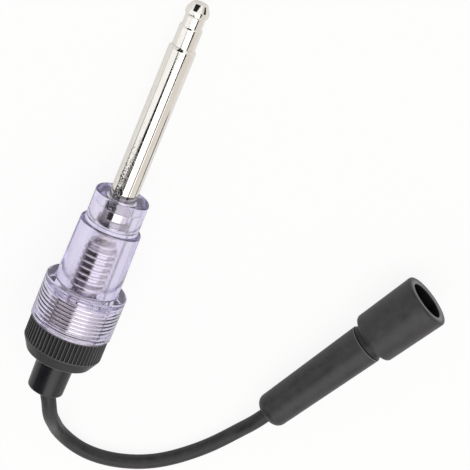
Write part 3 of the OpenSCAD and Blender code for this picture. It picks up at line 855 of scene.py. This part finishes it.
# Studio
# One large softbox overhead in a pale room. Cards of black and grey paper round the tool put the
# dark lines in its plate, bare and under the plastic, and are seen in nothing else.
softbox_aim = Vector((-0.02, -0.03, 0))
softbox_data = bpy.data.lights.new("overhead_softbox", "AREA")
softbox_data.shape = "RECTANGLE"
softbox_data.size, softbox_data.size_y = 1.1, 0.56
softbox_data.energy = 1.6
softbox = bpy.data.objects.new("overhead_softbox", softbox_data)
softbox.location = (-0.31, -0.04, 0.75)
softbox.rotation_mode = "QUATERNION"
softbox.rotation_quaternion = (softbox_aim - softbox.location).to_track_quat("-Z", "Y")
bpy.context.collection.objects.link(softbox)
black_paper = "#101012"
overhead = 0.42
wall = 0.45
wall_foot = -0.02
wall_step = 0.24
wall_edge = -0.172
over_floor = 0.0008


def in_plane(axis, place, *corners):
    """Corners in a plane square to an axis: each has two coordinates, and the axis's is put in."""
    return np.insert(np.array(corners, float), "xyz".index(axis), place, axis=1).tolist()


def card(name, colour, corners, faces=None, direct=False):
    """A flat card of paper between its corners, seen only in what shines. It takes no light away.

    A card with faces is seen in metal under the plastic: by rays that a surface has mirrored and
    that have gone through at least and at most those numbers of plastic faces. With direct, it is
    also seen by rays that have gone through none.
    """
    paper, paper_shader = new_material(name + "_paper")
    feed(paper, paper_shader, Base_Color=linear(colour), Roughness=0.9)
    mesh = bpy.data.meshes.new(name)
    mesh.from_pydata(corners, [], [tuple(range(len(corners)))])
    mesh.materials.append(paper)
    piece = bpy.data.objects.new(name, mesh)
    bpy.context.collection.objects.link(piece)
    piece.visible_camera = False
    piece.visible_diffuse = False
    piece.visible_shadow = False
    piece.visible_transmission = faces is not None
    if faces is None:
        return
    path = add(paper, "LightPath")
    mirrored = add(paper, "Math", {"operation": "GREATER_THAN"}, _0=path.outputs["Glossy Depth"],
                   _1=0.5)
    deep = add(paper, "Math", {"operation": "COMPARE"}, _0=path.outputs["Transmission Depth"],
               _1=(faces[0] + faces[1]) / 2, _2=(faces[1] - faces[0]) / 2 + 0.5)
    shown = add(paper, "Math", {"operation": "MULTIPLY"}, _0=mirrored, _1=deep)
    if direct:
        bare = add(paper, "Math", {"operation": "LESS_THAN"}, _0=path.outputs["Transmission Depth"],
                   _1=0.5)
        shown = add(paper, "Math", {"operation": "MAXIMUM"}, _0=shown, _1=bare)
    mix = add(paper, "MixShader", Fac=shown, _1=add(paper, "BsdfTransparent"), _2=paper_shader)
    feed(paper, paper.node_tree.nodes["Material Output"], Surface=mix)


# The black streak along the rod and the terminal, and the dark side of what is under the plastic.
card("streak_card", black_paper, in_plane(
    "z", overhead, (-0.023, 0.112), (-0.0405, 0.112), (-0.0405, 0.172), (-0.09, 0.18),
    (-0.12, 0.165), (-0.20, 0.09), (-0.9, 0.05), (-0.9, 0.45), (-0.15, 0.45), (-0.09, 0.33),
    (-0.06, 0.32), (-0.0405, 0.32), (-0.0402, 0.162), (-0.023, 0.162)), faces=(2, 9), direct=True)
card("side_card", black_paper, in_plane(
    "y", wall, (wall_edge, wall_foot), (-0.9, wall_foot), (-0.9, overhead), (-0.15, overhead),
    (-0.145, wall_step), (wall_edge, wall_step)), faces=(2, 9), direct=True)
# The dark side of the rod in the collar, and the electrode's and the plug's grey and dark sides.
card("collar_card", black_paper, in_plane(
    "y", wall, (-0.128, wall_foot), (wall_edge, wall_foot), (wall_edge, wall_step),
    (-0.145, wall_step)), faces=(2, 3))
card("groove_card", "#d6d4da", in_plane(
    "y", wall - 0.01, (wall_edge, wall_foot), (-0.08, wall_foot), (-0.08, wall_step),
    (wall_edge, wall_step)), faces=(4, 9))
card("floor_card", "#aeacb2", in_plane(
    "z", over_floor, (-0.1, 0.02), (0.12, 0.02), (0.12, 0.44), (-0.16, 0.44)), faces=(4, 9))
card("plug_card", black_paper, in_plane(
    "z", over_floor + 0.0002, (-0.6, 0.02), (-0.1, 0.02), (-0.16, 0.44), (-0.6, 0.44)),
    faces=(4, 9))
# The brown-grey band along the rod's near side, with a paler edge.
card("near_card", "#4e4640", in_plane(
    "z", overhead, (-0.07, -0.165), (-0.07, -0.235), (-0.06, -0.28), (-0.045, -0.335),
    (0.3, -0.335), (0.3, -0.165)))
card("near_edge_card", "#98938c", in_plane(
    "z", overhead, (-0.13, -0.165), (-0.13, -0.26), (-0.07, -0.26), (-0.07, -0.165)))
# The dark marks on the terminal's chamfers and tip.
card("tip_card", black_paper, [(0.50, -0.03, -0.1), (0.33, 0.34, -0.1), (0.33, 0.34, 0.33),
                               (0.50, -0.03, 0.33)])
card("low_card", black_paper, [(0.30, -0.30, 0.0), (0.24, -0.40, 0.0), (0.24, -0.40, 0.2),
                               (0.30, -0.30, 0.2)])

# The room is a warm white on the object, pale with one slightly darker band in the plate, and plain
# white to the camera and through the plastic.
world = bpy.data.worlds.new("studio")
world.use_nodes = True
bpy.context.scene.world = world
room = world.node_tree.nodes["Background"]
feed(world, room, Color=linear("#d9d6d2"), Strength=1.0)
world_path = add(world, "LightPath")
direction = add(world, "SeparateXYZ", Vector=add(world, "TexCoord").outputs["Generated"])
depth = add(world, "MapRange", Value=direction.outputs["Y"], From_Min=-1.0, From_Max=1.0)
shades = add(world, "ValToRGB", Fac=depth)
shades.color_ramp.elements[0].color = linear("#e2ded9")
shades.color_ramp.elements[1].position = 0.295
shades.color_ramp.elements[1].color = linear("#ffffff")
shades.color_ramp.elements.new(0.27).color = linear("#dcd7d0")
mirrored_room = add(world, "Background", Color=shades, Strength=1.0)
white_room = add(world, "Background", Color=linear("#ffffff"), Strength=1.0)
seen_through = add(world, "Math", {"operation": "MAXIMUM"}, _0=world_path.outputs["Is Camera Ray"],
                   _1=world_path.outputs["Is Transmission Ray"])
plain = add(world, "MixShader", Fac=world_path.outputs["Is Glossy Ray"], _1=room, _2=mirrored_room)
room_mix = add(world, "MixShader", Fac=seen_through, _1=plain, _2=white_room)
feed(world, world.node_tree.nodes["World Output"], Surface=room_mix)

bpy.context.scene.view_settings.view_transform = "Standard"
